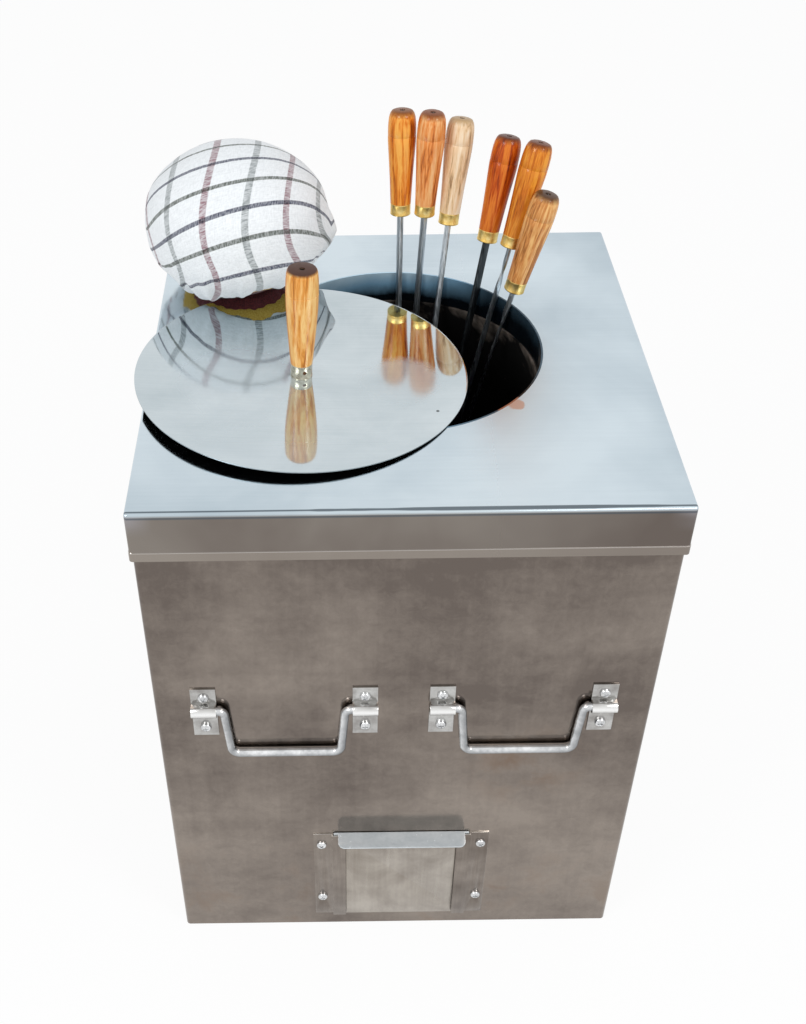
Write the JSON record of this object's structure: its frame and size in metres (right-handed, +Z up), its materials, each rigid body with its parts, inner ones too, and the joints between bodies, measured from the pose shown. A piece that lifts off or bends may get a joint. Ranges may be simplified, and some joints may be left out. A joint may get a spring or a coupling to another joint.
{
  "type": "charcoal tandoor",
  "caption": "Square sheet-steel charcoal tandoor with a clay pot, round mouth, dished lid, ash door, bail handles, skewers and a cloth bread pad.",
  "frame": {"origin": "middle of the flat base, on the surface that the oven stands on", "axes": "+Z up, the ash door and the front bails face -Y, +X to the right of someone facing the front"},
  "size_m": [0.4233, 0.4297, 0.6717],
  "materials": {
    "case_steel": "polished",
    "cover_steel": "polished",
    "trim_steel": "polished",
    "lid_steel": "mirror polished",
    "bright_steel": "bright",
    "rod_steel": "drawn",
    "ferrule_steel": "polished",
    "brass": "polished",
    "clay": "unglazed",
    "wool": "loose",
    "lid_wood": "varnished",
    "orange_wood": "varnished",
    "pale_wood": "varnished",
    "brown_wood": "varnished",
    "check_cotton": "woven",
    "base_cloth": "woven",
    "binding": "woven"
  },
  "bodies": {
    "oven": {"body_shell": "case_steel", "base_plate": "case_steel", "top_cover": "cover_steel", "mouth_collar": "cover_steel", "clay_pot": "clay", "insulation": "wool", "ash_chute": "case_steel", "door_guide_left": "trim_steel", "door_guide_right": "trim_steel", "guide_screws": "bright_steel", "saddles_front_left": "bright_steel", "saddles_front_right": "bright_steel", "saddles_rear_left": "bright_steel", "saddles_rear_right": "bright_steel", "saddle_screws_front_left": "bright_steel", "saddle_screws_front_right": "bright_steel", "saddle_screws_rear_left": "bright_steel", "saddle_screws_rear_right": "bright_steel"},
    "ash_door": {"ash_door": "trim_steel"},
    "bail_front_left": {"bail_front_left": "bright_steel"},
    "bail_front_right": {"bail_front_right": "bright_steel"},
    "bail_rear_left": {"bail_rear_left": "bright_steel"},
    "bail_rear_right": {"bail_rear_right": "bright_steel"},
    "lid": {"lid_disc": "lid_steel", "lid_bolt": "bright_steel", "lid_ferrule": "ferrule_steel", "lid_handle": "lid_wood"},
    "bread_pad": {"bread_pad": "check_cotton", "pad_base": "base_cloth", "pad_binding": "binding"},
    "skewer_1": {"skewer_1_rod": "rod_steel", "skewer_1_ferrule": "brass", "skewer_1_handle": "orange_wood"},
    "skewer_2": {"skewer_2_rod": "rod_steel", "skewer_2_ferrule": "brass", "skewer_2_handle": "orange_wood"},
    "skewer_3": {"skewer_3_rod": "rod_steel", "skewer_3_ferrule": "brass", "skewer_3_handle": "pale_wood"},
    "skewer_4": {"skewer_4_rod": "rod_steel", "skewer_4_ferrule": "brass", "skewer_4_handle": "orange_wood"},
    "skewer_5": {"skewer_5_rod": "rod_steel", "skewer_5_ferrule": "brass", "skewer_5_handle": "orange_wood"},
    "skewer_6": {"skewer_6_rod": "rod_steel", "skewer_6_ferrule": "brass", "skewer_6_handle": "brown_wood"}
  },
  "joints": [
    {"name": "ash_door_slide", "type": "slide", "parent": "oven", "child": "ash_door", "axis": [0, 0, 1], "range_m": [0, 0.095]},
    {"name": "bail_front_left_swing", "type": "hinge", "parent": "oven", "child": "bail_front_left", "pos_m": [-0.096, -0.2062, 0.3145], "axis": [-1, 0, 0], "range_deg": [0, 180]},
    {"name": "bail_front_right_swing", "type": "hinge", "parent": "oven", "child": "bail_front_right", "pos_m": [0.096, -0.2062, 0.3145], "axis": [-1, 0, 0], "range_deg": [0, 180]},
    {"name": "bail_rear_left_swing", "type": "hinge", "parent": "oven", "child": "bail_rear_left", "pos_m": [-0.096, 0.2062, 0.3145], "axis": [1, 0, 0], "range_deg": [0, 180]},
    {"name": "bail_rear_right_swing", "type": "hinge", "parent": "oven", "child": "bail_rear_right", "pos_m": [0.096, 0.2062, 0.3145], "axis": [1, 0, 0], "range_deg": [0, 180]},
    {"name": "lid_lift", "type": "slide", "parent": "oven", "child": "lid", "axis": [0, 0, 1], "range_m": [0, 0.2]},
    {"name": "bread_pad_lift", "type": "slide", "parent": "lid", "child": "bread_pad", "axis": [0, 0, 1], "range_m": [0, 0.2]},
    {"name": "skewer_1_pull", "type": "slide", "parent": "oven", "child": "skewer_1", "axis": [0.0008, 0.0954, 0.9954], "range_m": [0, 0.5]},
    {"name": "skewer_2_pull", "type": "slide", "parent": "oven", "child": "skewer_2", "axis": [0.0449, 0.0339, 0.9984], "range_m": [0, 0.5]},
    {"name": "skewer_3_pull", "type": "slide", "parent": "oven", "child": "skewer_3", "axis": [0.0948, 0.1649, 0.9817], "range_m": [0, 0.5]},
    {"name": "skewer_4_pull", "type": "slide", "parent": "oven", "child": "skewer_4", "axis": [0.1578, 0.1563, 0.975], "range_m": [0, 0.5]},
    {"name": "skewer_5_pull", "type": "slide", "parent": "oven", "child": "skewer_5", "axis": [0.2156, 0.1284, 0.968], "range_m": [0, 0.5]},
    {"name": "skewer_6_pull", "type": "slide", "parent": "oven", "child": "skewer_6", "axis": [0.2308, 0.0131, 0.9729], "range_m": [0, 0.5]}
  ]
}
